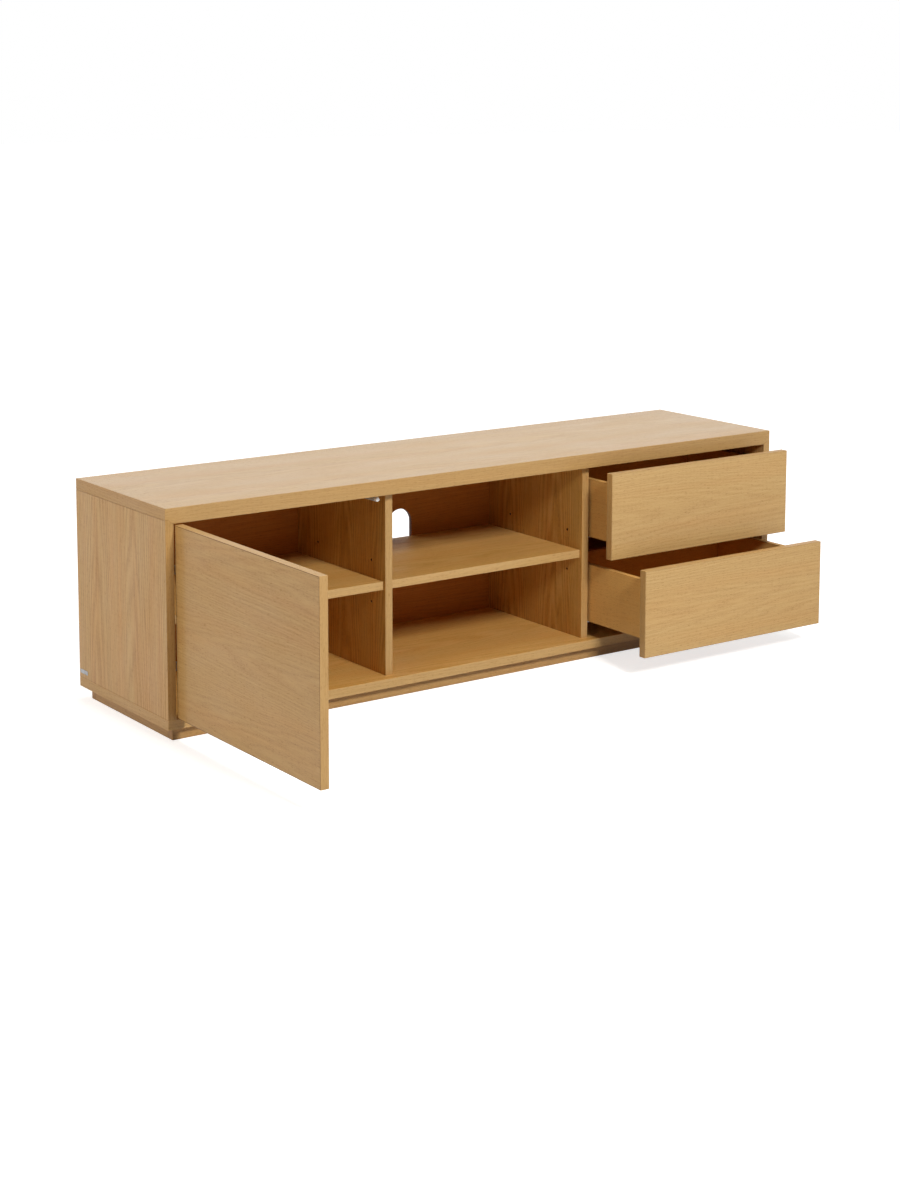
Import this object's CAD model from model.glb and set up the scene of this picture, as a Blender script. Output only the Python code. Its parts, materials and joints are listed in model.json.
# %% [markdown]
# # A low oak television stand
#
# The stand is a long veneered case on a recessed plinth. It has a door on the left, an open bay
# with a shelf in the middle, and two drawers on the right. The case was designed as separate
# boards, and this lesson dresses those boards: each one is modelled again with softened arrises,
# holes and grooves, and then gets veneer whose grain runs the way a cabinet maker would lay it.
#
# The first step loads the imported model. It stays where it is and gives every place and size that
# the later steps need.

import json
import math

import bmesh
import bpy
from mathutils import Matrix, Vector


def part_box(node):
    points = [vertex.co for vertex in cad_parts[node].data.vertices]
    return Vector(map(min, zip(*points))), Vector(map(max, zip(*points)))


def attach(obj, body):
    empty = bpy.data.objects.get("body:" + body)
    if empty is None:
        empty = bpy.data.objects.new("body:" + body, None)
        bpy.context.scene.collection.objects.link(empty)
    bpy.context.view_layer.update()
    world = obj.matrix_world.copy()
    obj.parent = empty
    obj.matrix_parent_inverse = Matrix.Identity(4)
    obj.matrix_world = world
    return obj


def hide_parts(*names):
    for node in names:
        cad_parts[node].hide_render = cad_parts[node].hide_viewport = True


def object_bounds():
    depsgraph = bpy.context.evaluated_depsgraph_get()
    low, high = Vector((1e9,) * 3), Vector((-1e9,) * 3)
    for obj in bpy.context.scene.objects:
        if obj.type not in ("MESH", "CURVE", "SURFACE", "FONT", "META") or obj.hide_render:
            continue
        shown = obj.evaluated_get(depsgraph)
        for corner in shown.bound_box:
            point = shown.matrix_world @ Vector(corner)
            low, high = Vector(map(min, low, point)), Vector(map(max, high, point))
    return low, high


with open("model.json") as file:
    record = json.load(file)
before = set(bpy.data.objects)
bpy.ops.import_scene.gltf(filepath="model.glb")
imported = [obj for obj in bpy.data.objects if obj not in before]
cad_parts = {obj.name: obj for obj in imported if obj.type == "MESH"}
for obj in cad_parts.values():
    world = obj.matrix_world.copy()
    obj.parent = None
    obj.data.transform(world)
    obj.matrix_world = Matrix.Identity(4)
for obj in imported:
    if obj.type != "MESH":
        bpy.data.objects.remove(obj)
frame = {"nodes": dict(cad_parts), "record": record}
cad_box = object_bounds()
behaviour = frame["record"]["behaviour"]
body_of = {node: body for body, nodes in behaviour["bodies"].items() for node in nodes}

# %% [markdown]
# ## Camera, floor and light
#
# The stand is seen from the left and a little from above, through a long lens. The lens is 65 mm
# for a 36 mm frame, and the camera is tilted down by less than eight degrees, so upright edges
# stay almost parallel. The frame is shifted down as well, which looks lower without more tilt.

# %% Camera
LENS = 64.9  # mm, for a frame whose long side is 36 mm
CAMERA_PLACE = (-2.5655, -3.5991, 1.2261)
CAMERA_TURN = 35.03  # degrees to the right of the stand's depth
CAMERA_TILT = 7.63  # degrees downwards
CAMERA_SHIFT = (0.0188, -0.2)  # right and up, in parts of the frame's long side

camera_data = bpy.data.cameras.new("camera")
camera_data.lens = LENS
camera_data.shift_x, camera_data.shift_y = CAMERA_SHIFT
camera = bpy.data.objects.new("camera", camera_data)
camera.location = CAMERA_PLACE
camera.rotation_euler = (math.radians(90 - CAMERA_TILT), 0, math.radians(-CAMERA_TURN))
bpy.context.scene.collection.objects.link(camera)
bpy.context.scene.camera = camera
bpy.context.scene.view_settings.view_transform = "Standard"
print(f"camera {CAMERA_PLACE}, lens {LENS} mm")

# %% [markdown]
# The nodes of a material are added by a few short helpers, so that each recipe below reads like a
# list of layers. A value may be a number, a colour or the output of another node.

# %% Helpers for materials


def put(tree, kind, settings, sockets, output=0):
    """Adds one shader node, sets it up, and gives back one of its outputs."""
    made = tree.nodes.new("ShaderNode" + kind)
    for name, value in settings.items():
        setattr(made, name, value)
    for key, value in sockets.items():
        if isinstance(value, bpy.types.NodeSocket):
            tree.links.new(value, made.inputs[key])
        else:
            made.inputs[key].default_value = value
    return made.outputs[output]


def attribute(tree, name):
    """The vector that a mesh attribute holds."""
    return put(tree, "Attribute", {"attribute_name": name}, {}, output=1)


def own_place(tree):
    """The point's place in the object's own coordinates, in metres."""
    return put(tree, "TexCoord", {}, {}, output=3)


def parts_of(tree, vector):
    """The three parts of a vector, each a value."""
    made = tree.nodes.new("ShaderNodeSeparateXYZ")
    tree.links.new(vector, made.inputs[0])
    return made.outputs


def maths(tree, operation, a, b=0.0, c=0.0):
    """One operation on up to three values."""
    return put(tree, "Math", {"operation": operation}, {0: a, 1: b, 2: c})


def clamped(tree, operation, a, b=0.0, c=0.0):
    """The same, with the result held between 0 and 1."""
    return put(tree, "Math", {"operation": operation, "use_clamp": True}, {0: a, 1: b, 2: c})


def stretched(tree, vector, scale, shift=(0, 0, 0)):
    """The vector multiplied by a scale along each axis, after which noise turns into streaks."""
    return put(tree, "Mapping", {}, {"Vector": vector, "Scale": scale, "Location": shift})


def noise(tree, vector, scale=1.0, detail=2.0, roughness=0.5, flat=False):
    """Noise between 0 and 1, in two dimensions if flat."""
    settings = {"noise_dimensions": "2D" if flat else "3D"}
    sockets = {"Vector": vector, "Scale": scale, "Detail": detail, "Roughness": roughness}
    return put(tree, "TexNoise", settings, sockets)


def ramp(tree, factor, stops, smooth=False):
    """A colour ramp with stops of (place, colour)."""
    made = tree.nodes.new("ShaderNodeValToRGB")
    tree.links.new(factor, made.inputs[0])
    scale = made.color_ramp
    scale.interpolation = "EASE" if smooth else "LINEAR"
    while len(scale.elements) < len(stops):
        scale.elements.new(0.5)
    for element, (place, colour) in zip(scale.elements, stops):
        element.position = place
        element.color = (*colour, 1)
    return made.outputs[0]


def span(tree, value, low, high, to_low=0.0, to_high=1.0):
    """Moves a value from one range to another, and holds it inside the new one."""
    return put(tree, "MapRange", {}, {0: value, 1: low, 2: high, 3: to_low, 4: to_high})


def blend(tree, factor, a, b, mode="MIX"):
    """Mixes two colours."""
    settings = {"data_type": "RGBA", "blend_type": mode}
    return put(tree, "Mix", settings, {0: factor, 6: a, 7: b}, output=2)


def new_material(name):
    """A material, its node tree and its shader."""
    material = bpy.data.materials.new(name)
    material.use_nodes = True
    return material, material.node_tree, material.node_tree.nodes["Principled BSDF"]


def bump(tree, shader, height, strength, distance):
    """Tilts the surface by a height, whose full range is the distance in metres."""
    sockets = {"Height": height, "Strength": strength, "Distance": distance}
    tree.links.new(put(tree, "Bump", {}, sockets), shader.inputs["Normal"])


# %% [markdown]
# The floor is a wide white sheet, as in a studio. To the camera and to mirror-like surfaces it
# glows a little on top of the light it gets, so it burns out to white where nothing shades it, and
# still keeps the soft shadow under the stand. The other rays see plain paint.

# %% Floor
FLOOR_HALF = 30.0  # metres from the middle to the edge
GLOW = (0.72, 1.0)  # of the floor near the stand and far from it
GLOW_REACH = (1.2, 3.5)  # metres out, between which the one turns into the other


def seen_directly(tree):
    """1 for camera, glossy and transmission rays, and 0 for the rays that carry light about."""
    path = tree.nodes.new("ShaderNodeLightPath")
    glossy = maths(tree, "MAXIMUM", path.outputs["Is Camera Ray"], path.outputs["Is Glossy Ray"])
    return maths(tree, "MAXIMUM", glossy, path.outputs["Is Transmission Ray"])


bpy.ops.object.select_all(action="DESELECT")
bpy.ops.mesh.primitive_plane_add(size=2 * FLOOR_HALF, location=(0, 0, cad_box[0].z))
floor = bpy.context.object
floor.name = "floor"
floor_paint, tree, shader = new_material("floor_paint")
shader.inputs["Base Color"].default_value = (0.7, 0.69, 0.67, 1)
shader.inputs["Roughness"].default_value = 0.9
shader.inputs["Specular IOR Level"].default_value = 0.1
shader.inputs["Emission Color"].default_value = (1, 1, 1, 1)
reach = put(tree, "VectorMath", {"operation": "LENGTH"}, {0: own_place(tree)}, output=1)
glow = maths(tree, "MULTIPLY", seen_directly(tree), span(tree, reach, *GLOW_REACH, *GLOW))
tree.links.new(glow, shader.inputs["Emission Strength"])
floor.data.materials.append(floor_paint)
print("floor", floor.dimensions[:])

# %% [markdown]
# The light is a plain studio set. The main soft box stands in front of the case, 35 degrees up, so
# it reaches most of the way into the open bays and leaves their backs in shade. A broad one hangs
# overhead, and weaker ones at the left, behind and at the right keep the ends and the back from
# going dark. Only the one overhead shows in reflections, as if the others had polarizing filters,
# so the lacquered top has no burnt-out patch from any side. The world adds a little ambient light,
# and shows white behind everything.

# %% Lights
AIM = Vector((0, -0.1, 0.2))
AMBIENT = 0.06  # strength of the world's own light


def add_soft_box(name, place, width, height, watts, colour, glare=False):
    """A flat lamp that faces the stand, and shows in reflections if glare is true."""
    data = bpy.data.lights.new(name, "AREA")
    data.shape = "RECTANGLE"
    data.size, data.size_y = width, height
    data.energy = watts
    data.color = colour
    light = bpy.data.objects.new(name, data)
    light.location = place
    light.rotation_mode = "QUATERNION"
    light.rotation_quaternion = (AIM - Vector(place)).to_track_quat("-Z", "Y")
    light.visible_glossy = glare
    bpy.context.scene.collection.objects.link(light)
    print(name, place, watts, "W")


add_soft_box("light_front", (-0.3, -3.8, 2.85), 0.8, 0.8, 168, (0.97, 0.99, 1.0))
add_soft_box("light_overhead", (0.3, 0.1, 3.4), 3.2, 2.0, 48, (0.98, 0.99, 1.0), glare=True)
add_soft_box("light_left", (-3.6, 0.3, 1.4), 1.6, 1.6, 39, (1.0, 0.89, 0.73))
add_soft_box("light_behind", (-1.4, 4.0, 1.5), 1.6, 1.6, 36, (1.0, 0.99, 0.98))
add_soft_box("light_right", (4.2, 0.4, 1.2), 1.4, 1.4, 26, (1.0, 0.99, 0.98))

world = bpy.data.worlds.new("studio")
world.use_nodes = True
bpy.context.scene.world = world
tree = world.node_tree
background = tree.nodes["Background"]
brightness = span(tree, seen_directly(tree), 0, 1, AMBIENT, 1.0)
background.inputs["Color"].default_value = (1, 1, 1, 1)
tree.links.new(brightness, background.inputs["Strength"])

# %% [markdown]
# ## Veneer
#
# Veneer is a flat sheet, so its figure is drawn on a flat map and not cut out of a solid block.
# Each board gets a UV map called "grain", in metres: U runs along the fibres and V across them.
# Three attributes travel with it. "from_low" and "from_high" hold the distance to the board's two
# sides along each axis, and from them a material can tell how far a point is from the nearest
# arris. "sheet" holds how dark the glue line of the edge band shows, which is nothing except on
# the broad faces, a small change of tone, and how strong the figure is.

# %% Lay the grain
X, Y, Z = 0, 1, 2
LONG_WAY = {"x": X, "y": Y, "z": Z}
EDGE_TONE = -0.17
EDGE_FIGURE = 0.2
CORE_TONE = -1.0  # bare core inside drilled holes and grooves
CORE_DEPTH = 0.004  # metres in from the sides where a narrow face counts as core
BOARD_SHIFT = (1.37, 0.83)  # metres from one board's cut of veneer to the next one's
SIDE_SHIFT = (0.71, 0.47)  # and from one side of a board to the next
sheets_laid = []


def lay_grain(piece, along, tone=0.0, figure=0.5, band=0.35):
    """Writes the grain map and the three attributes, each face as its own cut of veneer.

    The edge bands are a little darker than the faces, and take the second material.
    """
    mesh = piece.data
    low = [min(v.co[i] for v in mesh.vertices) for i in range(3)]
    high = [max(v.co[i] for v in mesh.vertices) for i in range(3)]
    size = [b - a for a, b in zip(low, high)]
    thin = size.index(min(size))
    fibre = LONG_WAY[along]
    number = len(sheets_laid)
    sheets_laid.append(piece.name)
    distances = {
        "from_low": [v.co[i] - low[i] for v in mesh.vertices for i in range(3)],
        "from_high": [high[i] - v.co[i] for v in mesh.vertices for i in range(3)],
    }
    for name, values in distances.items():
        mesh.attributes.new(name, "FLOAT_VECTOR", "POINT").data.foreach_set("vector", values)
    places, sheets = [], []
    for face in mesh.polygons:
        across_face = max(range(3), key=lambda i: abs(face.normal[i]))
        rest = sorted((i for i in range(3) if i != across_face), key=lambda i: -size[i])
        u, v = (fibre, sum(rest) - fibre) if fibre in rest else rest
        side = across_face + (3 if face.normal[across_face] > 0 else 0)
        shift = [a * number + b * side for a, b in zip(BOARD_SHIFT, SIDE_SHIFT)]
        for corner in face.loop_indices:
            place = mesh.vertices[mesh.loops[corner].vertex_index].co
            places += [place[u] + shift[0], place[v] + shift[1]]
        broad = across_face == thin
        if broad:
            sheets += [band, tone, figure]
        else:
            middle = face.center
            deep_in = all(
                low[i] + CORE_DEPTH < middle[i] < high[i] - CORE_DEPTH
                for i in range(3)
                if i != thin
            )
            core = deep_in and size[thin] > 2 * CORE_DEPTH
            sheets += [0.0, tone + (CORE_TONE if core else EDGE_TONE), EDGE_FIGURE]
        face.material_index = 0 if broad else 1
    mesh.uv_layers.new(name="grain").data.foreach_set("uv", places)
    mesh.attributes.new("sheet", "FLOAT_VECTOR", "FACE").data.foreach_set("vector", sheets)


# %% [markdown]
# Oak shows four things at four scales. Slow drifts of tone run over a whole board. Growth rings
# show as nested arches where the knife passed flat through the log, and as straight lines where it
# did not. Fine fibres run a few centimetres. Last come the open pores, short dark dashes that the
# lacquer leaves slightly sunken. The rings come first, because they need the most thought: each
# leaf of veneer has its own middle, and the square of the distance from it bends straight lines to
# arches.

# %% Growth rings
LEAF_WIDTH = 0.155  # metres across one leaf of veneer
LEAF_WANDER = 0.05  # metres by which the edges of a leaf wander
ARCHING = 1500.0  # rings for each square metre of the squared distance from a leaf's middle
RINGS_ALONG = 6.5  # rings crossed in a metre along the fibres
RING_WANDER = 2.2  # rings by which the lines wander
EARLY_WOOD = 0.6  # where in a ring the dark porous line lies
RING_FADE = 0.42  # how far from that line, in rings, the wood is at its palest


def ring_lines(tree, grain):
    """Growth rings of flat-cut leaves: 0 on the dark line and 1 well away from it."""
    u, v, _ = parts_of(tree, grain)
    drift = noise(tree, stretched(tree, grain, (1.3, 6, 1)), detail=3, flat=True)
    bent = maths(tree, "MULTIPLY_ADD", drift, LEAF_WANDER, v)
    leaf = maths(tree, "FRACT", maths(tree, "DIVIDE", bent, LEAF_WIDTH))
    local = maths(tree, "MULTIPLY", maths(tree, "SUBTRACT", leaf, 0.5), LEAF_WIDTH)
    arch = maths(tree, "MULTIPLY", maths(tree, "MULTIPLY", local, local), ARCHING)
    wobble = noise(tree, stretched(tree, grain, (3, 40, 1)), detail=3, flat=True)
    phase = maths(tree, "MULTIPLY_ADD", u, RINGS_ALONG, arch)
    phase = maths(tree, "MULTIPLY_ADD", wobble, RING_WANDER, phase)
    from_line = maths(tree, "SUBTRACT", maths(tree, "FRACT", phase), EARLY_WOOD)
    return span(tree, maths(tree, "ABSOLUTE", from_line), 0.0, RING_FADE)


# %% [markdown]
# The finer patterns are all the same kind of noise, stretched by different amounts, so a table
# lists them. The recipe adds up what each of them does to one number, the tone, and a ramp turns
# that into colour. Tints then go over it, each multiplied in where it belongs: reddish streaks,
# pores, bare core, the dark line where the edge band is glued on, and the arris itself, rubbed a
# little paler.

# %% Oak recipe
# Waves in a metre along and across the fibres, then the detail and the roughness of the noise.
PATTERNS = {
    "clouds": ((0.8, 3.5, 1), 3, 0.5),
    "lines": ((0.9, 210, 1), 4, 0.7),
    "flecks": ((34, 620, 1), 2, 0.5),
    "fibres": ((14, 1300, 1), 2, 0.5),
    "dashes": ((95, 2300, 1), 1, 0.5),
}
TINTS = {
    "reddish": (1.02, 0.90, 0.80, 1),
    "pore": (0.55, 0.42, 0.30, 1),
    "core": (0.22, 0.15, 0.10, 1),
    "glue": (0.24, 0.15, 0.08, 1),
    "rubbed": (1.14, 1.12, 1.08, 1),
}
PORE_LIMITS = (0.62, 0.70)  # a dash above this is a pore, in early and in late wood
PORE_EDGE = 14.0  # how sharply a pore ends
CORE_TONES = (-0.9, -0.8)  # a tone below the first is all core
BAND_THICKNESS = 0.0009
GLUE_LINE = 0.0006
RUBBED_WIDTH = 0.0007
RUBBED_AMOUNT = 0.35
SPECULAR = 0.22
LACQUER_ROUGHNESS = 0.15


def pattern(tree, grain, name):
    """One of the fine patterns, between 0 and 1."""
    scale, detail, roughness = PATTERNS[name]
    streaks = stretched(tree, grain, scale)
    return noise(tree, streaks, detail=detail, roughness=roughness, flat=True)


def tinted(tree, amount, colour, tint):
    """The colour multiplied by a tint, as far as the amount says."""
    return blend(tree, amount, colour, TINTS[tint], "MULTIPLY")


def arris_distance(tree):
    """Distance to the nearest arris: the middle one of the three distances to the sides."""
    low, high = attribute(tree, "from_low"), attribute(tree, "from_high")
    nearest = put(tree, "VectorMath", {"operation": "MINIMUM"}, {0: low, 1: high})
    x, y, z = parts_of(tree, nearest)
    small, large = maths(tree, "MINIMUM", x, y), maths(tree, "MAXIMUM", x, y)
    return maths(tree, "MAXIMUM", small, maths(tree, "MINIMUM", large, z))


def make_oak(name, shades, amounts, gloss, lacquer=0.0):
    """Oak veneer with a deep, a middle and a pale shade. The amounts say how strong a layer is."""
    material, tree, shader = new_material(name)
    grain = put(tree, "UVMap", {"uv_map": "grain"}, {})
    band, tone, figure = parts_of(tree, attribute(tree, "sheet"))
    layers = {layer: pattern(tree, grain, layer) for layer in PATTERNS}
    ring, fibre = ring_lines(tree, grain), layers["fibres"]
    limit = span(tree, ring, 0.0, 1.0, *PORE_LIMITS)
    pore = clamped(tree, "MULTIPLY", maths(tree, "SUBTRACT", layers["dashes"], limit), PORE_EDGE)

    ring_part = maths(tree, "MULTIPLY", maths(tree, "SUBTRACT", ring, 0.5), figure)
    value = maths(tree, "ADD", tone, 0.5)
    value = maths(tree, "MULTIPLY_ADD", ring_part, amounts["rings"], value)
    texture = 0.0
    for layer in ("clouds", "lines", "flecks", "fibres"):
        change = maths(tree, "SUBTRACT", layers[layer], 0.5)
        texture = maths(tree, "MULTIPLY_ADD", change, amounts[layer], texture)
    contrast = maths(tree, "MULTIPLY_ADD", figure, 0.7, 0.52)
    value = maths(tree, "MULTIPLY_ADD", texture, contrast, value)
    colour = ramp(tree, value, list(zip((0.0, 0.5, 1.0), shades)))

    warm = noise(tree, stretched(tree, grain, (1.6, 22, 1), (5, 3, 0)), detail=2, flat=True)
    warmth = maths(tree, "MULTIPLY_ADD", figure, 0.7, 0.15)
    reddish = maths(tree, "MULTIPLY", span(tree, warm, 0.42, 0.72), warmth)
    colour = tinted(tree, reddish, colour, "reddish")
    colour = tinted(tree, maths(tree, "MULTIPLY", pore, amounts["pores"]), colour, "pore")
    colour = tinted(tree, span(tree, tone, *CORE_TONES, 1.0, 0.0), colour, "core")
    distance = arris_distance(tree)
    off_line = maths(tree, "ABSOLUTE", maths(tree, "SUBTRACT", distance, BAND_THICKNESS))
    line = span(tree, off_line, GLUE_LINE * 0.5, GLUE_LINE, 1.0, 0.0)
    glue = maths(tree, "MULTIPLY", line, band)
    colour = tinted(tree, glue, colour, "glue")
    rubbed = span(tree, distance, 0.0, RUBBED_WIDTH, RUBBED_AMOUNT, 0.0)
    colour = tinted(tree, rubbed, colour, "rubbed")
    tree.links.new(colour, shader.inputs["Base Color"])

    smear = noise(tree, stretched(tree, grain, (5, 14, 1)), detail=3, flat=True)
    rough = span(tree, smear, 0.3, 0.7, gloss - 0.05, gloss + 0.06)
    rough = maths(tree, "MULTIPLY_ADD", pore, 0.18, rough)
    tree.links.new(maths(tree, "MULTIPLY_ADD", fibre, 0.06, rough), shader.inputs["Roughness"])
    shader.inputs["Specular IOR Level"].default_value = SPECULAR
    shader.inputs["Coat Weight"].default_value = lacquer
    shader.inputs["Coat Roughness"].default_value = LACQUER_ROUGHNESS
    height = maths(tree, "MULTIPLY_ADD", pore, -1.0, maths(tree, "MULTIPLY", fibre, 0.35))
    height = maths(tree, "MULTIPLY_ADD", glue, -0.8, height)
    bump(tree, shader, height, strength=0.35, distance=0.00015)
    return material


# %% [markdown]
# The stand has five kinds of oak. The outside is pale and calm. The top is the same veneer with
# more lacquer on it. The inside of the bays is warmer and has more figure. The thin backing of the
# back panel and of the drawer bottoms is reddish, and the drawer boxes are plain and
# honey-coloured.

# %% Kinds of oak
LAYERS = ("rings", "lines", "flecks", "fibres", "clouds", "pores")
pale_shades = ((0.36, 0.190, 0.060), (0.520, 0.318, 0.121), (0.64, 0.430, 0.190))
top_shades = (pale_shades[0], (0.485, 0.298, 0.114), pale_shades[2])
calm = dict(zip(LAYERS, (0.28, 0.58, 0.40, 0.34, 0.36, 0.75)))
lively = dict(zip(LAYERS, (0.52, 0.60, 0.36, 0.30, 0.34, 0.75)))
quiet = dict(zip(LAYERS, (0.16, 0.42, 0.36, 0.30, 0.30, 0.7)))
plain = dict(zip(LAYERS, (0.10, 0.50, 0.34, 0.30, 0.26, 0.7)))
warm_shades = ((0.38, 0.175, 0.036), (0.565, 0.296, 0.064), (0.69, 0.410, 0.150))
reddish_shades = ((0.32, 0.095, 0.012), (0.50, 0.184, 0.028), (0.62, 0.285, 0.065))
honey_shades = ((0.45, 0.215, 0.050), (0.67, 0.372, 0.112), (0.76, 0.470, 0.165))

oak_veneer = make_oak("oak_veneer", pale_shades, calm, gloss=0.42, lacquer=0.15)
oak_top = make_oak("oak_top", top_shades, calm, gloss=0.40, lacquer=0.42)
oak_inside = make_oak("oak_inside", warm_shades, lively, gloss=0.46)
oak_backing = make_oak("oak_backing", reddish_shades, quiet, gloss=0.52)
oak_drawer_box = make_oak("oak_drawer_box", honey_shades, plain, gloss=0.48)
wood_of_slot = {
    "oak_veneer": oak_veneer,
    "oak_backing": oak_backing,
    "oak_drawer_box": oak_drawer_box,
}
print("oak:", ", ".join((*wood_of_slot, oak_top.name, oak_inside.name)))

# %% [markdown]
# ## Boards
#
# A real board is cut square and banded, and the maker then takes the sharp arris off with a
# sanding block. In Blender that is a cube at the board's place, with bevelled edges. The cube is
# made at size 1 and stretched between two corners that the frame gives, and the stretch is applied
# at once, so bevels come out even. Ends that butt against another board stay crisp.

# %% Helpers for shaping
ARRIS = 0.0008
ARRIS_ANGLE = 20  # degrees; a flatter edge is no arris
EXACT = 1e-6


def deselect():
    """Leaves edit mode and selects nothing."""
    if bpy.context.object and bpy.context.object.mode != "OBJECT":
        bpy.ops.object.mode_set(mode="OBJECT")
    bpy.ops.object.select_all(action="DESELECT")


def only(piece):
    """Makes one piece the selected and active one."""
    deselect()
    piece.select_set(True)
    bpy.context.view_layer.objects.active = piece


def block(name, low, high):
    """A cube primitive that reaches from one corner to the other."""
    deselect()
    low, high = Vector(low), Vector(high)
    bpy.ops.mesh.primitive_cube_add(size=1, location=(low + high) / 2, scale=high - low)
    piece = bpy.context.object
    piece.name = name
    bpy.ops.object.transform_apply(location=True, rotation=True, scale=True)
    return piece


def edit(piece):
    """Opens one piece in edit mode."""
    only(piece)
    bpy.ops.object.mode_set(mode="EDIT")


def pick(piece, kind, test):
    """In edit mode, selects the vertices, edges or faces that pass a test."""
    bpy.ops.mesh.select_mode(type=kind)
    bpy.ops.mesh.select_all(action="DESELECT")
    mesh = bmesh.from_edit_mesh(piece.data)
    parts = {"VERT": mesh.verts, "EDGE": mesh.edges, "FACE": mesh.faces}[kind]
    for part in parts:
        if test(part):
            part.select_set(True)
    mesh.select_flush_mode()
    bmesh.update_edit_mesh(piece.data)


def on_plane(part, axis, place):
    """True if an edge or a face lies in the plane across an axis."""
    return all(abs(v.co[axis] - place) < EXACT for v in part.verts)


def soften(piece, crisp=(), width=ARRIS, segments=3):
    """Bevels the arrises, apart from those in the crisp planes, given as (axis, place)."""
    edit(piece)
    pick(
        piece,
        "EDGE",
        lambda edge: edge.calc_face_angle(0) > math.radians(ARRIS_ANGLE)
        and not any(on_plane(edge, axis, place) for axis, place in crisp),
    )
    bpy.ops.mesh.bevel(offset=width, segments=segments, profile=0.5, affect="EDGES")
    bpy.ops.object.mode_set(mode="OBJECT")


# %% [markdown]
# Grooves and holes are cut with booleans, as a router and a drill would cut them, and parts that
# are bent or cast in one are welded by them. The exact solver is slower than the fast one, but it
# copes with cutters whose faces lie in the plane of the board's own.

# %% Helpers for cutting
OVERCUT = 0.001  # how far a cutter reaches past what it cuts


def combine(piece, tools, operation):
    """Applies one boolean for each tool, and removes the tool."""
    only(piece)
    for tool in tools:
        modifier = piece.modifiers.new("combine", "BOOLEAN")
        modifier.operation = operation
        modifier.solver = "EXACT"
        modifier.object = tool
        bpy.ops.object.modifier_apply(modifier=modifier.name)
        bpy.data.objects.remove(tool)


def carve(piece, cutters):
    """Takes the cutters' shapes out of the piece."""
    combine(piece, cutters, "DIFFERENCE")


def weld(piece, others):
    """Makes the piece and the others one closed shape."""
    combine(piece, others, "UNION")


# %% [markdown]
# A finished piece is smoothed by angle, so its soft arrises catch the light while the flat faces
# stay flat, and it takes the place of the node that it stands for. Its object stays at the origin,
# and its place is in its mesh. What repeats is copied, each copy with a mesh of its own.

# %% Helpers for finishing


def smooth(piece, angle=35):
    """Smooth shading that keeps flat faces flat and edges above the angle sharp."""
    only(piece)
    bpy.ops.object.shade_smooth_by_angle(angle=math.radians(angle))
    modifier = piece.modifiers.new("weighted", "WEIGHTED_NORMAL")
    modifier.keep_sharp = True
    bpy.ops.object.modifier_apply(modifier=modifier.name)


def set_in_place(piece, materials):
    """Gives a finished piece its materials, its body and the node that it stands for."""
    node = piece.name.removesuffix("_board").removesuffix("_part")
    while piece.data.materials:
        piece.data.materials.pop()
    for material in materials:
        piece.data.materials.append(material)
    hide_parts(node)
    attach(piece, body_of[node])


def finish_board(piece, along, slot="oak_veneer", tone=0.0, figure=0.5, band=0.35, wood=None):
    """Smooths a board, gives it its wood and lays the grain along x, y or z."""
    smooth(piece)
    edges = oak_veneer if wood else wood_of_slot[slot]
    set_in_place(piece, (wood or wood_of_slot[slot], edges))
    lay_grain(piece, along, tone, figure, band)
    print(f"{piece.name}: {len(piece.data.polygons)} faces, grain along {along}")


def copy_to(piece, name, node, turn=0.0):
    """A copy with its own mesh, half a turn round if asked, with its low corner on the node's."""
    only(piece)
    bpy.ops.object.duplicate()
    made = bpy.context.object
    made.name = name
    low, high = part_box(node)
    corners = [Vector(corner) for corner in made.bound_box]
    centre = (corners[0] + corners[6]) / 2
    if turn:
        bpy.ops.transform.rotate(value=turn, orient_axis="Z", center_override=centre)
    bpy.ops.transform.translate(value=(low + high) / 2 - centre)
    bpy.ops.object.transform_apply(location=True, rotation=True, scale=True)
    return made


# %% [markdown]
# ### Top
#
# The top is rebated over the sides, so that only a 22 mm lip shows at each end. The seam with the
# side is level for a few millimetres and then slopes down inside. Two cuts across each end give
# the lower face the vertices it needs, and the outer ones are then lifted.

# %% Top
side_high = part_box("side_left")[1]
SIDE_INNER = side_high.x  # inner face of the left side
NEAR = 1e-5
SEAM_FLAT = 0.005  # the level part of the seam, from the outside
SEAM_GAP = 0.00005  # left between parts that touch
GROOVE_DEPTH = 0.006
TOP_ARRIS = 0.001
top_low, top_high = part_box("top_panel")
bottom_low, bottom_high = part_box("bottom_panel")
CEILING = top_low.z
FLOOR = bottom_high.z
LIP_BOTTOM = side_high.z + SEAM_GAP
back_low, back_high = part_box("back_panel")
GROOVE_PLAY = 0.0003
GROOVE_FRONT, GROOVE_REAR = back_low.y - GROOVE_PLAY, back_high.y + GROOVE_PLAY


def slope_ends(piece, places, lift, chosen):
    """Cuts the piece across at each place along X, and lifts the chosen vertices."""
    edit(piece)
    for place in places:
        bpy.ops.mesh.select_all(action="SELECT")
        bpy.ops.mesh.bisect(plane_co=(place, 0, 0), plane_no=(1, 0, 0))
    pick(piece, "VERT", chosen)
    bpy.ops.transform.translate(value=(0, 0, lift))
    bpy.ops.object.mode_set(mode="OBJECT")


def back_groove(low, high):
    """A cutter for the groove that the back panel sits in."""
    return block("groove", (low[0], GROOVE_FRONT, low[1]), (high[0], GROOVE_REAR, high[1]))


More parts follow.
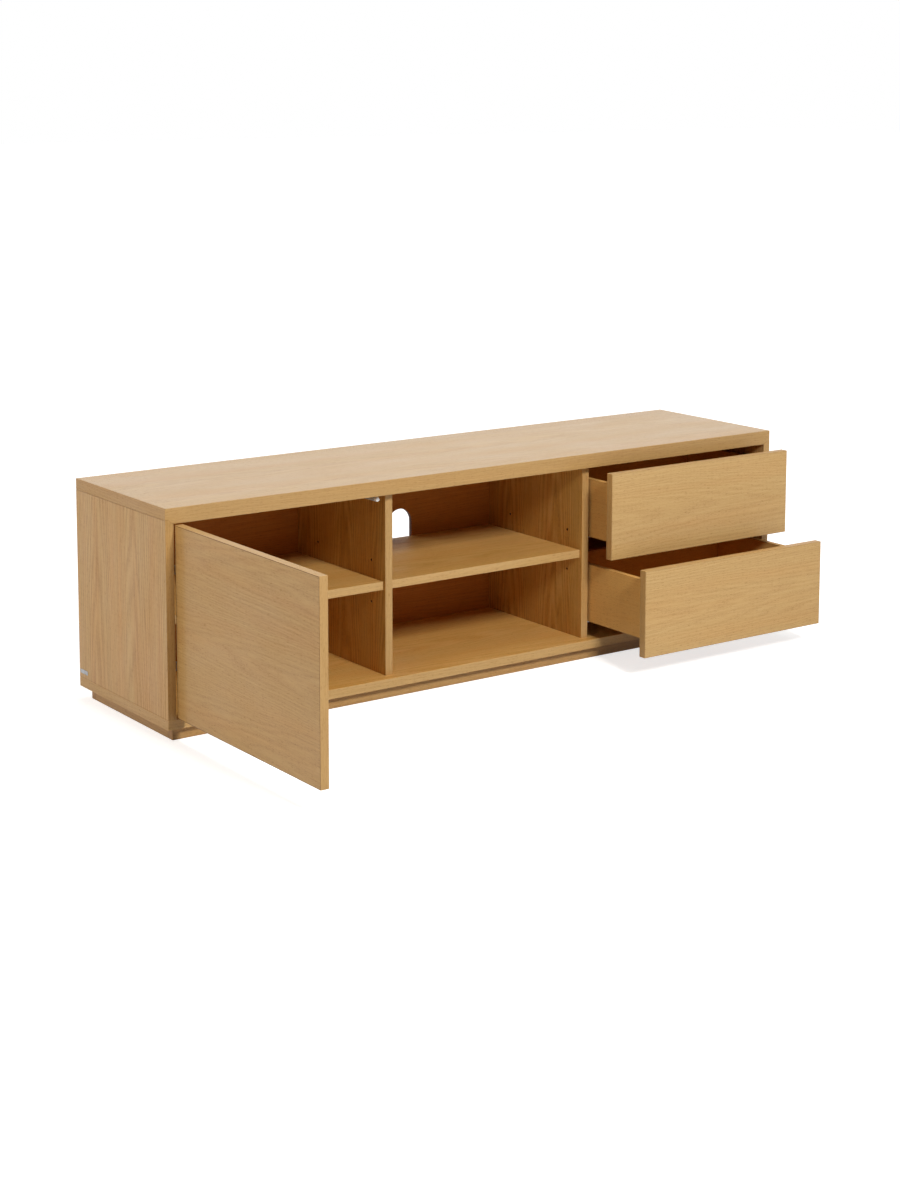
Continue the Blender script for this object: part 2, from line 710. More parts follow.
top = block("top_panel_board", top_low, top_high)
seam_end = top_high.x - SEAM_FLAT
slope_ends(
    top,
    (SIDE_INNER, -seam_end, seam_end, -SIDE_INNER),
    LIP_BOTTOM - CEILING,
    lambda v: abs(v.co.x) > seam_end - NEAR and v.co.z < CEILING + NEAR,
)
soften(top, width=TOP_ARRIS)
groove_top = CEILING + GROOVE_DEPTH
carve(top, [back_groove((SIDE_INNER, CEILING - OVERCUT), (-SIDE_INNER, groove_top))])
finish_board(top, "x", tone=0.0, figure=0.35, wood=oak_top)

# %% [markdown]
# ### Bottom and sides
#
# The bottom runs the full length under the sides. The sides stand on it, their veneer upright, and
# their heads follow the slope of the seam. Holes for the shelf pins are drilled in the left one.

# %% Bottom and sides
PIN_RADIUS = 0.0025
HOLE_RADIUS = PIN_RADIUS + 0.0001
HOLE_DEPTH = 0.008
SIDE_ARRIS = 0.0006
pin_low, pin_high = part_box("shelf_pin_left_left_front")
rear_pin_low, rear_pin_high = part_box("shelf_pin_left_left_rear")
PIN_LEVEL = (pin_low.z + pin_high.z) / 2
PIN_ROWS = ((pin_low.y + pin_high.y) / 2, (rear_pin_low.y + rear_pin_high.y) / 2)
HOLE_PITCH = 0.042


def rod(name, start, end, radius, sides=24):
    """A cylinder primitive along X, Y or Z between two points."""
    deselect()
    start, end = Vector(start), Vector(end)
    turn = {X: (0, math.pi / 2, 0), Y: (math.pi / 2, 0, 0), Z: (0, 0, 0)}
    axis = max(range(3), key=lambda i: abs((end - start)[i]))
    bpy.ops.mesh.primitive_cylinder_add(
        vertices=sides,
        radius=radius,
        depth=(end - start).length,
        location=(start + end) / 2,
        rotation=turn[axis],
    )
    piece = bpy.context.object
    piece.name = name
    bpy.ops.object.transform_apply(location=True, rotation=True, scale=True)
    return piece


def pin_drills(face, inward):
    """Six drills for the pin holes in one face; inward is the way that they go along X."""
    start, end = face - OVERCUT * inward, face + HOLE_DEPTH * inward
    return [
        rod("drill", (start, y, z), (end, y, z), HOLE_RADIUS)
        for y in PIN_ROWS
        for z in (PIN_LEVEL - HOLE_PITCH, PIN_LEVEL, PIN_LEVEL + HOLE_PITCH)
    ]


bottom = block("bottom_panel_board", bottom_low, bottom_high)
soften(bottom)
groove_floor = FLOOR - GROOVE_DEPTH
carve(bottom, [back_groove((SIDE_INNER, groove_floor), (-SIDE_INNER, FLOOR + OVERCUT))])
finish_board(bottom, "x", tone=0.14, figure=0.4, wood=oak_inside)

for hand, name in ((-1, "side_left"), (1, "side_right")):
    low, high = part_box(name)
    inner, outer = (high.x, low.x) if hand < 0 else (low.x, high.x)
    side = block(f"{name}_board", low, high)
    slope_ends(
        side,
        (outer - hand * SEAM_FLAT,),
        CEILING - LIP_BOTTOM,
        lambda v: abs(v.co.x - inner) < NEAR and v.co.z > high.z - NEAR,
    )
    soften(side, crisp=((X, inner), (Z, low.z)), width=SIDE_ARRIS)
    ends = sorted((inner - OVERCUT * hand, inner + GROOVE_DEPTH * hand))
    cutters = [back_groove((ends[0], FLOOR), (ends[1], CEILING))]
    if hand < 0:
        cutters += pin_drills(inner, -1)
    carve(side, cutters)
    finish_board(side, "z", tone=-0.03, figure=0.9)

# %% [markdown]
# ### Dividers
#
# Two upright boards split the case into three equal bays. They stop short of the front, behind the
# door and the drawer fronts. The left one is drilled from both faces.

# %% Dividers
for name in ("divider_left", "divider_right"):
    low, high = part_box(name)
    divider = block(f"{name}_board", low, high)
    soften(divider, crisp=((Z, low.z), (Z, high.z), (Y, high.y)))
    drills = pin_drills(low.x, 1)
    if name == "divider_left":
        drills += pin_drills(high.x, -1)
    carve(divider, drills)
    finish_board(divider, "z", tone=-0.02, figure=0.8, wood=oak_inside)

# %% [markdown]
# ### Back panel
#
# The back is a thin veneered board in a groove all round. Its corners are notched to clear the
# case, and an upright slot with round ends lets cables through in the middle bay. The slot is
# cut with one tool: a block with a cylinder at each end.

# %% Back panel
SLOT_WIDTH = 0.060
SLOT_HEIGHT = 0.140
SLOT_ARRIS = 0.0005
STANDOUT = 0.01  # how far the tools stand out at the front and the rear
shelf_low, shelf_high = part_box("shelf_middle")
SLOT_LEVEL = (shelf_low.z + shelf_high.z) / 2

back = block("back_panel_board", back_low, back_high)
through = (back_low.y - STANDOUT, back_high.y + STANDOUT)
half_width = SLOT_WIDTH / 2
straight = SLOT_HEIGHT / 2 - half_width
notch_levels = (
    (CEILING - GROOVE_PLAY, back_high.z + OVERCUT),
    (back_low.z - OVERCUT, FLOOR + GROOVE_PLAY),
)
notches = []
for hand in (-1, 1):
    xs = sorted((-hand * SIDE_INNER, hand * (back_high.x + OVERCUT)))
    for lower, upper in notch_levels:
        notches.append(block("notch", (xs[0], through[0], lower), (xs[1], through[1], upper)))
carve(back, notches)
levels = (SLOT_LEVEL - straight, SLOT_LEVEL + straight)
slot = block("slot", *zip((-half_width, half_width), through, levels))
for level in levels:
    ends = [(0, y, level) for y in through]
    weld(slot, [rod("slot_end", *ends, half_width, sides=64)])
carve(back, [slot])


def in_slot(edge):
    """True for an edge of the slot."""
    middle = (edge.verts[0].co + edge.verts[1].co) / 2
    return abs(middle.x) < SLOT_WIDTH and abs(middle.z - SLOT_LEVEL) < SLOT_HEIGHT


edit(back)
pick(back, "EDGE", lambda e: e.calc_face_angle(0) > math.radians(60) and in_slot(e))
bpy.ops.mesh.bevel(offset=SLOT_ARRIS, segments=2, affect="EDGES")
bpy.ops.object.mode_set(mode="OBJECT")
finish_board(back, "x", slot="oak_backing", tone=-0.04, figure=0.5)
back.data.materials.append(oak_veneer)  # the outside has the same veneer as the case
OUTSIDE = len(back.data.materials) - 1
for face in back.data.polygons:
    if face.normal.y > 0.5:
        face.material_index = OUTSIDE

# %% [markdown]
# ### Plinth
#
# The plinth is a low frame set back under the bottom. The long rails are alike, and so are the
# three short ones, so each kind is modelled once and copied.

# %% Plinth
rail_low, rail_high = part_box("plinth_front")
long_rail = block("plinth_front_board", rail_low, rail_high)
soften(long_rail, crisp=((Z, rail_high.z),))
rear_rail = copy_to(long_rail, "plinth_back_board", "plinth_back")
rail_low, rail_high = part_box("plinth_left")
short_rail = block("plinth_left_board", rail_low, rail_high)
soften(short_rail, crisp=((Z, rail_high.z), (Y, rail_low.y), (Y, rail_high.y)))
right_rail = copy_to(short_rail, "plinth_right_board", "plinth_right")
middle_rail = copy_to(short_rail, "plinth_middle_board", "plinth_middle")
for rail in (long_rail, rear_rail):
    finish_board(rail, "x", tone=-0.3, figure=0.2)
for rail in (short_rail, right_rail, middle_rail):
    finish_board(rail, "y", tone=-0.25, figure=0.2)

# %% [markdown]
# ### Shelves
#
# A shelf drops over four pins, which disappear in notches cut from below: a slot with a round top
# for each pin, open at the board's end. Both shelves are alike, so the second is a copy.

# %% Shelves
NOTCH_PLAY = 0.0003
low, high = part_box("shelf_left")
first_shelf = block("shelf_left_board", low, high)
soften(first_shelf, crisp=((Y, high.y),))
notch_end = pin_high.x + NOTCH_PLAY
both_ends = low.x + high.x
notches = []
for y in PIN_ROWS:
    for start, end in ((low.x - OVERCUT, notch_end), (both_ends - notch_end, high.x + OVERCUT)):
        notches.append(rod("notch", (start, y, PIN_LEVEL), (end, y, PIN_LEVEL), HOLE_RADIUS))
        corner = (start, y - HOLE_RADIUS, low.z - OVERCUT)
        notches.append(block("notch", corner, (end, y + HOLE_RADIUS, PIN_LEVEL)))
carve(first_shelf, notches)
second_shelf = copy_to(first_shelf, "shelf_middle_board", "shelf_middle")
for shelf in (first_shelf, second_shelf):
    finish_board(shelf, "x", tone=0.2, figure=0.35, wood=oak_inside)

# %% [markdown]
# ### Door
#
# The door is one veneered panel without a handle: a push on it works the latch. It stands open at
# a right angle. Two blind holes in its inner face take the cups of the hinges.

# %% Door
CUP_RADIUS = 0.0175
BORE_DEPTH = 0.0123
BORE_EDGE = 0.005  # board left between the bore and the door's edge
low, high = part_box("door_panel")
door = block("door_panel_board", low, high)
soften(door)
hinge_levels = []
for level in ("lower", "upper"):
    cup_low, cup_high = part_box(f"hinge_cup_{level}")
    hinge_levels.append((cup_low.z + cup_high.z) / 2)
bore_y = high.y - BORE_EDGE - CUP_RADIUS
for z in hinge_levels:
    ends = [(x, bore_y, z) for x in (high.x - BORE_DEPTH, high.x + OVERCUT)]
    carve(door, [rod("bore", *ends, CUP_RADIUS, sides=64)])
finish_board(door, "y", tone=-0.02, figure=0.35, band=1.0)

# %% [markdown]
# ### Drawers
#
# Each drawer is a box with a separate front screwed to it. The box has two sides, an inner front,
# a back, and a thin bottom in grooves. The upper drawer is modelled, and the lower one is a copy.

# %% Drawers
BOX_GROOVE = 0.005
BOX_ARRIS = 0.0005
THIN_ARRIS = 0.0003
bottom_of_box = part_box("drawer_upper_bottom")
groove_low = bottom_of_box[0].z - SEAM_GAP
groove_high = bottom_of_box[1].z + GROOVE_PLAY

low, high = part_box("drawer_upper_front")
drawer_front = block("drawer_upper_front_board", low, high)
soften(drawer_front)

low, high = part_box("drawer_upper_side_left")
box_front, box_rear = low.y, high.y
left_wall = block("drawer_upper_side_left_board", low, high)
soften(left_wall, crisp=((Y, box_front),), width=BOX_ARRIS)
corner = (high.x - BOX_GROOVE, box_front - OVERCUT, groove_low)
far_corner = (high.x + OVERCUT, box_rear + OVERCUT, groove_high)
carve(left_wall, [block("groove", corner, far_corner)])
right_node = "drawer_upper_side_right"
right_wall = copy_to(left_wall, f"{right_node}_board", right_node, math.pi)

low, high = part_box("drawer_upper_inner_front")
inner_front = block("drawer_upper_inner_front_board", low, high)
soften(inner_front, crisp=((X, low.x), (X, high.x), (Y, low.y)), width=BOX_ARRIS)
corner = (low.x - OVERCUT, high.y - BOX_GROOVE, groove_low)
far_corner = (high.x + OVERCUT, high.y + OVERCUT, groove_high)
carve(inner_front, [block("groove", corner, far_corner)])

low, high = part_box("drawer_upper_back")
box_back = block("drawer_upper_back_board", low, high)
soften(box_back, crisp=((X, low.x), (X, high.x)), width=BOX_ARRIS)

box_bottom = block("drawer_upper_bottom_board", *bottom_of_box)
soften(box_bottom, width=THIN_ARRIS, segments=2)

upper_drawer = (
    (drawer_front, "x", "oak_veneer", 0.01, 0.3),
    (left_wall, "y", "oak_drawer_box", 0.06, 0.3),
    (right_wall, "y", "oak_drawer_box", 0.06, 0.3),
    (inner_front, "x", "oak_drawer_box", -0.02, 0.3),
    (box_back, "x", "oak_drawer_box", -0.02, 0.3),
    (box_bottom, "x", "oak_backing", 0.0, 0.4),
)
lower_drawer = []
for piece, along, slot_name, tone, figure in upper_drawer:
    name = piece.name.replace("upper", "lower")
    copy = copy_to(piece, name, name.removesuffix("_board"))
    lower_drawer.append((copy, along, slot_name, tone, figure))
for piece, along, slot_name, tone, figure in (*upper_drawer, *lower_drawer):
    finish_board(piece, along, slot_name, tone, figure)

# %% [markdown]
# ## Metal and plastic
#
# The fittings are pressed and plated steel: bright nickel on the pins and screws, duller zinc on
# the hinges and runners. Plating is never even, so slow patches change its brightness, and fine
# drawing marks run along the part. The push latch is moulded plastic with a slight grit.

# %% Metal and plastic finishes
METAL_DULL = 0.74  # brightness of the dull patches
PLASTIC_DULL = 0.88
SPOT_TINT = (0.55, 0.53, 0.5, 1)
SPOT_AMOUNT = 0.35


def make_metal(name, colour, rough, streaks, patches):
    """Metal with drawing marks, stretched along one axis, and slow patches of dullness."""
    material, tree, shader = new_material(name)
    place = own_place(tree)
    streak = noise(tree, stretched(tree, place, streaks), detail=3)
    patch = noise(tree, place, scale=patches, detail=3)
    spot = noise(tree, place, scale=patches * 9, detail=2)
    dull = tuple(METAL_DULL * part for part in colour)
    mixed = ramp(tree, patch, [(0.3, dull), (0.62, colour)], smooth=True)
    spots = span(tree, spot, 0.66, 0.74, 0.0, SPOT_AMOUNT)
    mixed = blend(tree, spots, mixed, SPOT_TINT, "MULTIPLY")
    tree.links.new(mixed, shader.inputs["Base Color"])
    uneven = span(tree, streak, 0.25, 0.75, rough - 0.08, rough + 0.1)
    tree.links.new(uneven, shader.inputs["Roughness"])
    shader.inputs["Metallic"].default_value = 1.0
    bump(tree, shader, streak, strength=0.15, distance=0.00005)
    return material


def make_plastic(name, colour, rough):
    """Moulded plastic: a fine grit, and a slight cloudiness where the melt met."""
    material, tree, shader = new_material(name)
    place = own_place(tree)
    grit = noise(tree, place, scale=2500, detail=2)
    cloud = noise(tree, place, scale=60, detail=2)
    dull = tuple(PLASTIC_DULL * part for part in colour)
    tree.links.new(ramp(tree, cloud, [(0.3, dull), (0.7, colour)]), shader.inputs["Base Color"])
    uneven = span(tree, grit, 0.3, 0.7, rough - 0.06, rough + 0.06)
    tree.links.new(uneven, shader.inputs["Roughness"])
    bump(tree, shader, grit, strength=0.2, distance=0.00004)
    return material


steel = make_metal("steel", (0.66, 0.67, 0.68), 0.28, (60, 900, 900), 90)
plate_steel = make_metal("plate_steel", (0.36, 0.37, 0.39), 0.42, (2600, 60, 2600), 70)
zinc = make_metal("zinc", (0.60, 0.60, 0.59), 0.34, (700, 40, 700), 55)
latch_grey = make_plastic("latch_grey", (0.50, 0.50, 0.49), 0.5)
latch_white = make_plastic("latch_white", (0.93, 0.93, 0.92), 0.42)
finishes = (steel, plate_steel, zinc, latch_grey, latch_white)
print("metals and plastics:", ", ".join(finish.name for finish in finishes))

# %% [markdown]
# ### Fittings
#
# Pressed parts have small even edges. A boolean leaves stray vertices on flat faces, so a fitting
# is cleaned first, then its edges are broken by a narrow bevel, and the rest is smoothed.

# %% Helpers for fittings
FITTING_EDGE = 0.0003


def machine(piece, width=FITTING_EDGE, angle=30):
    """Cleans up after booleans, breaks the sharp edges and smooths the rest."""
    edit(piece)
    bpy.ops.mesh.select_all(action="SELECT")
    bpy.ops.mesh.remove_doubles(threshold=EXACT)
    bpy.ops.mesh.dissolve_limited(angle_limit=math.radians(0.5))
    bpy.ops.object.mode_set(mode="OBJECT")
    modifier = piece.modifiers.new("edges", "BEVEL")
    modifier.width = width
    modifier.segments = 2
    modifier.limit_method = "ANGLE"
    modifier.angle_limit = math.radians(angle)
    bpy.ops.object.modifier_apply(modifier=modifier.name)
    smooth(piece, 40)


def finish_fitting(piece, material):
    """Gives a fitting its one material, and puts it in place of its node."""
    set_in_place(piece, (material,))
    print(f"{piece.name}: {len(piece.data.polygons)} faces")


# %% [markdown]
# ### Screws
#
# All the screws are the same: a low rounded head with a cross recess. One is modelled with its
# head towards +X, from a cylinder whose outer rim gets a wide bevel, and two thin blocks cut the
# cross. It is then copied into each fitting and joined to it.

# %% Screw
SCREW_RADIUS = 0.0032
SCREW_HEIGHT = 0.0011
SCREW_ROUNDING = 0.0008
RECESS_LENGTH = 0.0036
RECESS_WIDTH = 0.0008
RECESS_DEPTH = 0.0006
screw = rod("screw", (0, 0, 0), (SCREW_HEIGHT, 0, 0), SCREW_RADIUS, sides=32)
edit(screw)
pick(screw, "EDGE", lambda edge: on_plane(edge, X, SCREW_HEIGHT))
bpy.ops.mesh.bevel(offset=SCREW_ROUNDING, segments=4, affect="EDGES")
bpy.ops.object.mode_set(mode="OBJECT")
start, end = SCREW_HEIGHT - RECESS_DEPTH, SCREW_HEIGHT + OVERCUT
halves = (RECESS_LENGTH / 2, RECESS_WIDTH / 2)
for half_y, half_z in (halves, halves[::-1]):
    carve(screw, [block("recess", (start, -half_y, -half_z), (end, half_y, half_z))])
smooth(screw, 40)
screw.data.materials.append(steel)
print(f"screw: {len(screw.data.polygons)} faces")


def add_screws(piece, places, hand=1):
    """Joins a screw to the piece at each place, its head towards +X, or -X if hand is -1."""
    copies = []
    for place in places:
        only(screw)
        bpy.ops.object.duplicate()
        copy = bpy.context.object
        if hand < 0:
            bpy.ops.transform.rotate(value=math.pi, orient_axis="Z", center_override=(0, 0, 0))
        bpy.ops.transform.translate(value=place)
        bpy.ops.object.transform_apply(location=True, rotation=True, scale=True)
        copies.append(copy)
    only(piece)
    for copy in copies:
        copy.select_set(True)
    bpy.ops.object.join()


# %% [markdown]
# ### Cup hinges
#
# A concealed hinge has a cup pressed into the door, an arm on a plate that is screwed to the side,
# and a bent link between them. The cup is a cylinder that is hollowed from the front, with a
# flange of two rounded wings, and two cheeks inside stand beside the link. The upper cup is
# modelled, and the lower one is a copy.

# %% Hinge cups
CUP_FIT = 0.0003
CUP_WALL = 0.0012
FLANGE_WIDTH = 0.021
CHEEK_GAP = 0.0063  # from the hinge's middle to the cheek
CHEEK_REACH = CUP_RADIUS - 0.0045
RIM_WIDTH = 0.002
WING_CORNER = 0.008
CUP_EDGE = 0.00025
SCREW_FROM_MIDDLE = 0.024


def rounded_plate(name, low, high, axis, radius):
    """A block whose four edges along an axis are rounded."""
    piece = block(name, low, high)
    edit(piece)
    pick(piece, "EDGE", lambda e: abs((e.verts[0].co - e.verts[1].co).normalized()[axis]) > 0.9)
    bpy.ops.mesh.bevel(offset=radius, segments=8, affect="EDGES")
    bpy.ops.object.mode_set(mode="OBJECT")
    return piece


low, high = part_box("hinge_cup_upper")
y, z = (low.y + high.y) / 2, (low.z + high.z) / 2
rim = high.x - CUP_WALL
outer = CUP_RADIUS - CUP_FIT
cup = rod("hinge_cup_upper_part", (low.x, y, z), (high.x, y, z), outer, sides=64)
disc = rod("disc", (rim, y, z), (high.x, y, z), outer + RIM_WIDTH, sides=64)
corner = (rim, y - FLANGE_WIDTH / 2, low.z)
wings = rounded_plate("wings", corner, (high.x, y + FLANGE_WIDTH / 2, high.z), X, WING_CORNER)
weld(cup, [disc, wings])
ends = [(x, y, z) for x in (low.x + CUP_WALL, high.x + OVERCUT)]
carve(cup, [rod("hollow", *ends, outer - CUP_WALL, sides=64)])
door_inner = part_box("door_panel")[1].x
for hand in (-1, 1):
    levels = sorted((z + hand * CHEEK_GAP, z + hand * (CHEEK_GAP + CUP_WALL)))
    corner = (low.x + CUP_WALL / 2, y - CHEEK_REACH, levels[0])
    weld(cup, [block("cheek", corner, (door_inner, y + CHEEK_REACH, levels[1]))])
machine(cup, CUP_EDGE)
lower_cup = copy_to(cup, "hinge_cup_lower_part", "hinge_cup_lower")
for piece, node in ((cup, "hinge_cup_upper"), (lower_cup, "hinge_cup_lower")):
    finish_fitting(piece, zinc)
    middle = sum(corner.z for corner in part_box(node)) / 2
    steps = (-SCREW_FROM_MIDDLE, SCREW_FROM_MIDDLE)
    add_screws(piece, [(high.x, y, middle + step) for step in steps])

# %% [markdown]
# The link and the arm are bent shapes that the design already holds exactly, so a copy of each is
# merged, and its edges are broken. The pin is a short rod. The plate has two round-cornered wings
# for its screws and a raised spine, over which the arm slides.

# %% Links, arms, pins and plates
ARM_PLAY = 0.0003
ARM_HEIGHT = 0.006
ARM_EDGE = 0.0004
ARM_SCREWS = (-0.142, -0.108)  # places along the depth
SCREW_SINK = 0.0003
PLATE_SCREW = 0.0195  # from the plate's middle
HINGE_PIN_RADIUS = 0.0015
ARM_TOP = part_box("hinge_plate_upper")[1].x + ARM_PLAY + ARM_HEIGHT


def refined(node, width):
    """A copy of a node's own shape, merged and with its edges broken."""
    original = frame["nodes"][node]
    copy = bpy.data.objects.new(f"{node}_part", original.data.copy())
    bpy.context.scene.collection.objects.link(copy)
    copy.data.materials.clear()
    machine(copy, width)
    return copy


def copy_below(piece):
    """The lower hinge's copy of an upper part."""
    name = piece.name.replace("upper", "lower")
    return copy_to(piece, name, name.removesuffix("_part"))


link = refined("hinge_link_upper", FITTING_EDGE)
arm = refined("hinge_arm_upper", ARM_EDGE)
low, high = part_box("hinge_pin_upper")
middle = (low + high) / 2
ends = [(middle.x, middle.y, z) for z in (low.z, high.z)]
pin = rod("hinge_pin_upper_part", *ends, HINGE_PIN_RADIUS, sides=32)
machine(pin, ARM_EDGE)

WING_WIDTH = 0.016
PLATE_THICKNESS = 0.00215
PLATE_WIDTH = 0.018
SPINE_WIDTH = 0.010
SPINE_MARGIN = 0.002
SIDE_TO_WINGS = 0.016  # from the plate's front end to the middle of its wings
PLATE_CORNER = 0.003
WING_ROUNDING = 0.0065
low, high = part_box("hinge_plate_upper")
z = (low.z + high.z) / 2
wing_y = low.y + SIDE_TO_WINGS
top = low.x + PLATE_THICKNESS
corners = ((low.x, low.y, z - PLATE_WIDTH / 2), (top, high.y, z + PLATE_WIDTH / 2))
plate = rounded_plate("hinge_plate_upper_part", *corners, X, PLATE_CORNER)
corners = ((low.x, wing_y - WING_WIDTH / 2, low.z), (top, wing_y + WING_WIDTH / 2, high.z))
wings = rounded_plate("wings", *corners, X, WING_ROUNDING)
spine_low = (low.x, low.y + SPINE_MARGIN, z - SPINE_WIDTH / 2)
spine = block("spine", spine_low, (high.x, high.y - SPINE_MARGIN, z + SPINE_WIDTH / 2))
weld(plate, [wings, spine])
machine(plate)

for piece, material in ((link, zinc), (arm, zinc), (pin, steel), (plate, zinc)):
    for made in (piece, copy_below(piece)):
        finish_fitting(made, material)
        low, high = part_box(made.name.removesuffix("_part"))
        z = ((low + high) / 2).z
        if piece is plate:
            add_screws(made, [(top, wing_y, z + step) for step in (-PLATE_SCREW, PLATE_SCREW)])
        if piece is arm:
            add_screws(made, [(ARM_TOP - SCREW_SINK, y, z) for y in ARM_SCREWS])

# %% [markdown]
# ### Push latch
#
# The latch is a tube on a flat base, with a spring-loaded plunger. Its white tip is the only part
# that shows, under the top beside the divider. A wide bevel on the tip's front rim makes the dome.

# %% Push latch
LATCH_RADIUS = 0.005
STEM_RADIUS = 0.0028
TIP_RADIUS = 0.0046
TIP_LENGTH = 0.006
TIP_DOME = 0.002
STEM_PLAY = 0.0003
STEM_BORE = 0.037
BASE_THICKNESS = 0.005
BASE_MARGIN = 0.005
BASE_CORNER = 0.003
NECK_HALF = 0.003
low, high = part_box("latch_housing")
tip_low, tip_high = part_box("latch_plunger")
x, z = (low.x + high.x) / 2, (tip_low.z + tip_high.z) / 2
housing = rod("latch_housing_part", (x, low.y, z), (x, high.y, z), LATCH_RADIUS, sides=48)
corner = (low.x, low.y + BASE_MARGIN, high.z - BASE_THICKNESS)
far_corner = (high.x, high.y - BASE_MARGIN, high.z)
base = rounded_plate("base", corner, far_corner, Z, BASE_CORNER)
corner = (x - NECK_HALF, low.y + BASE_MARGIN, z)
neck = block("neck", corner, (x + NECK_HALF, high.y - BASE_MARGIN, high.z - OVERCUT))
weld(housing, [base, neck])
ends = [(x, y, z) for y in (low.y - OVERCUT, low.y + STEM_BORE)]
carve(housing, [rod("bore", *ends, STEM_RADIUS + STEM_PLAY, sides=48)])
machine(housing)
finish_fitting(housing, latch_grey)

tip_end = tip_low.y + TIP_LENGTH
plunger = rod("latch_plunger_part", (x, tip_low.y, z), (x, tip_end, z), TIP_RADIUS, sides=48)
edit(plunger)
pick(plunger, "EDGE", lambda edge: on_plane(edge, Y, tip_low.y))
bpy.ops.mesh.bevel(offset=TIP_DOME, segments=6, affect="EDGES")
bpy.ops.object.mode_set(mode="OBJECT")
ends = [(x, y, z) for y in (tip_end - OVERCUT, tip_high.y)]
weld(plunger, [rod("stem", *ends, STEM_RADIUS, sides=48)])
smooth(plunger, 40)
finish_fitting(plunger, latch_white)

# %% [markdown]
# ### Drawer runners
#
# Each drawer hangs on two steel runners. The fixed rail is bent from sheet: a flange that is
# screwed to the case, a ledge, and an upright that carries a flat head. The channel on the drawer
# wraps round that head. Both are built from thin blocks, one for each fold, welded into one shape.
# The right-hand ones are the left-hand ones turned half a turn.

# %% Drawer runners
SHEET = 0.0015
SLIDE_CENTRE = 0.033  # from the case to the middle of the slide
HEAD_WIDTH = 0.016
MOUTH = 0.003
FLANGE_SCREWS = (0.022, 0.146, 0.270)  # from the rail's front end
FLANGE_HEIGHT = 0.024

low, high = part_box("runner_upper_left_fixed")
wall = low.x - SEAM_GAP
centre = wall + SLIDE_CENTRE
ledge = low.z + FLANGE_HEIGHT


def fold(name, xs, ys, zs):
    """A block between two places along each axis."""
    return block(name, (xs[0], ys[0], zs[0]), (xs[1], ys[1], zs[1]))


ys = (low.y, high.y)
rail = fold("runner_upper_left_fixed_part", (low.x, wall + SHEET), ys, (low.z, ledge))
upright = (centre - SHEET / 2, centre + SHEET / 2)
head = (centre - HEAD_WIDTH / 2, centre + HEAD_WIDTH / 2)
weld(
    rail,
    [
        fold("ledge", (low.x, high.x), ys, (ledge - SHEET, ledge)),
        fold("upright", upright, ys, (ledge - SHEET / 2, high.z - SHEET / 2)),
        fold("head", head, ys, (high.z - SHEET, high.z)),
    ],
)
machine(rail)

low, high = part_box("runner_upper_left_sliding")
ys = (low.y, high.y)
mouth = SHEET / 2 + MOUTH
channel = fold("runner_upper_left_sliding_part", (low.x, high.x), ys, (high.z - SHEET, high.z))
weld(
    channel,
    [
        fold("left_wall", (low.x, low.x + SHEET), ys, (low.z, high.z - SHEET / 2)),
        fold("right_wall", (high.x - SHEET, high.x), ys, (low.z, high.z - SHEET / 2)),
        fold("left_lip", (low.x, centre - mouth), ys, (low.z, low.z + SHEET)),
        fold("right_lip", (centre + mouth, high.x), ys, (low.z, low.z + SHEET)),
    ],
)
machine(channel)

for kind, model in (("fixed", rail), ("sliding", channel)):
    for level in ("upper", "lower"):
        for side in ("left", "right"):
            node = f"runner_{level}_{side}_{kind}"
            made = model
            if (level, side) != ("upper", "left"):
                made = copy_to(model, f"{node}_part", node, math.pi if side == "right" else 0.0)
            finish_fitting(made, zinc)
for level in ("upper", "lower"):
    for side, hand in (("left", 1), ("right", -1)):
        node = f"runner_{level}_{side}_fixed"
        low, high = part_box(node)
        face = low.x + SHEET - SEAM_GAP if hand > 0 else high.x - SHEET + SEAM_GAP
        height = low.z + FLANGE_HEIGHT / 2
        places = [(face, low.y + along, height) for along in FLANGE_SCREWS]
        add_screws(bpy.data.objects[f"{node}_part"], places, hand)

# %% [markdown]
# ### Shelf pins and the small plate
#
# A shelf pin is a turned steel rod with a groove at the face of the board. Two cuts mark the
# groove, and the ring of faces between them is pushed in. The small plate low on the left side is
# a blank strip of brushed steel with rounded corners and a sunk field.

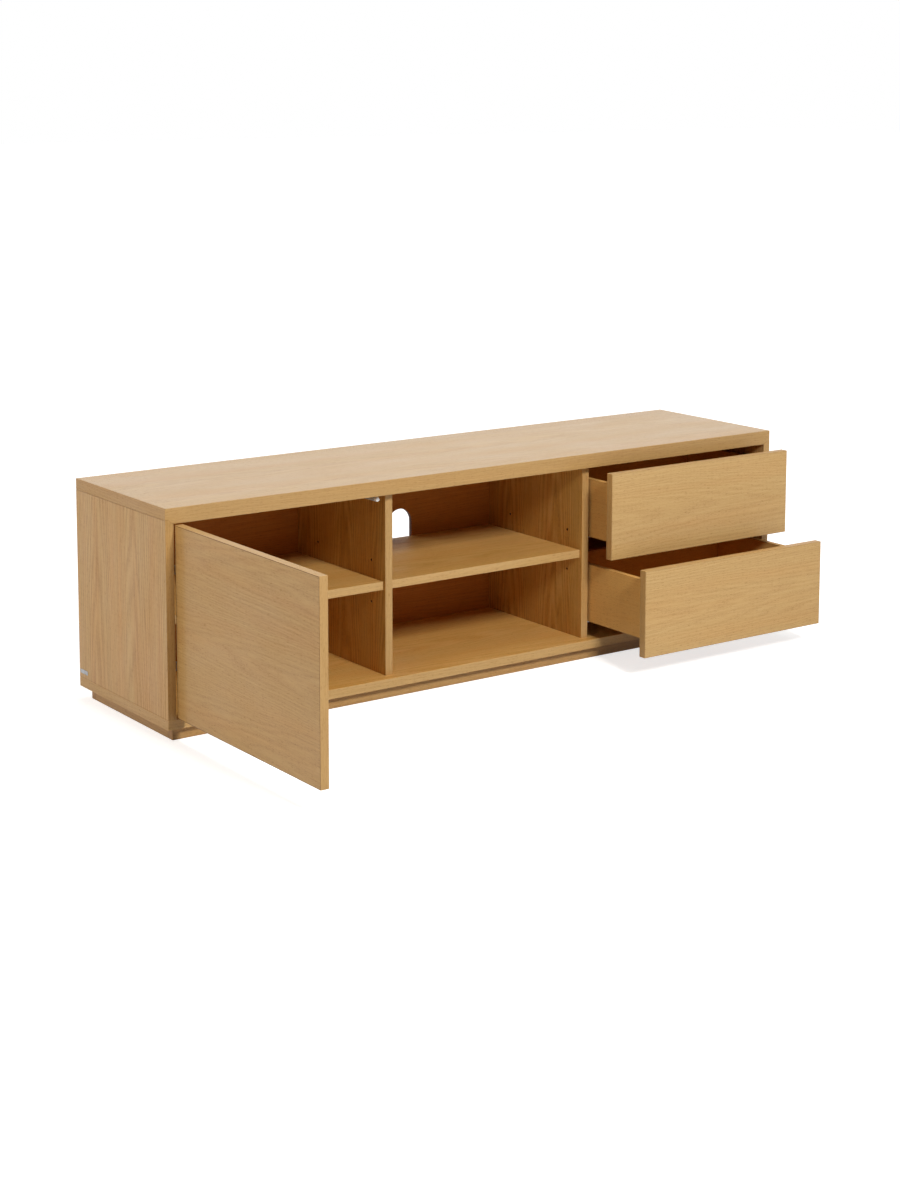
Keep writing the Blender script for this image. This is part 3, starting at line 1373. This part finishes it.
# %% Shelf pins and the small plate
RING_HALF = 0.0006  # half the width of the pin's groove
RING_DEPTH = 0.0003
RING_SLOPE = 0.0002
middle = (pin_low + pin_high) / 2
ends = [(x, middle.y, middle.z) for x in (pin_low.x, pin_high.x)]
first_pin = rod("shelf_pin_left_left_front_part", *ends, PIN_RADIUS, sides=32)
edit(first_pin)
for place in (SIDE_INNER - RING_HALF, SIDE_INNER + RING_HALF):
    bpy.ops.mesh.select_all(action="SELECT")
    bpy.ops.mesh.bisect(plane_co=(place, 0, 0), plane_no=(1, 0, 0))
pick(
    first_pin,
    "FACE",
    lambda face: abs(face.calc_center_median().x - SIDE_INNER) < RING_HALF
    and abs(face.normal.x) < 0.5,
)
bpy.ops.mesh.inset(thickness=RING_SLOPE, depth=-RING_DEPTH, use_even_offset=True)
bpy.ops.object.mode_set(mode="OBJECT")
machine(first_pin, angle=50)
pins = [first_pin]
for bay in ("left", "middle"):
    for end in ("left", "right"):
        for row in ("front", "rear"):
            node = f"shelf_pin_{bay}_{end}_{row}"
            if node != "shelf_pin_left_left_front":
                turn = math.pi if end == "right" else 0.0
                pins.append(copy_to(first_pin, f"{node}_part", node, turn))
for piece in pins:
    finish_fitting(piece, steel)

TAG_CORNER = 0.0012
TAG_RIM = 0.0009
TAG_SINK = 0.00015
TAG_EDGE = 0.0001
low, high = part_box("side_tag")
tag = rounded_plate("side_tag_part", low, high, X, TAG_CORNER)
edit(tag)
pick(tag, "FACE", lambda face: face.normal.x < -0.9)
bpy.ops.mesh.inset(thickness=TAG_RIM)
bpy.ops.transform.translate(value=(TAG_SINK, 0, 0))
bpy.ops.object.mode_set(mode="OBJECT")
machine(tag, TAG_EDGE)
finish_fitting(tag, plate_steel)
bpy.data.objects.remove(screw)

# %% [markdown]
# ## Sizes and finish
#
# The last step measures the box round the finished pieces. It must be that of the design, so both
# are written down side by side. The closing call checks that every piece rides on a body, and
# writes the table of the pieces.

# %% Sizes and finish
print("CAD box", [tuple(round(x, 4) for x in v) for v in cad_box])
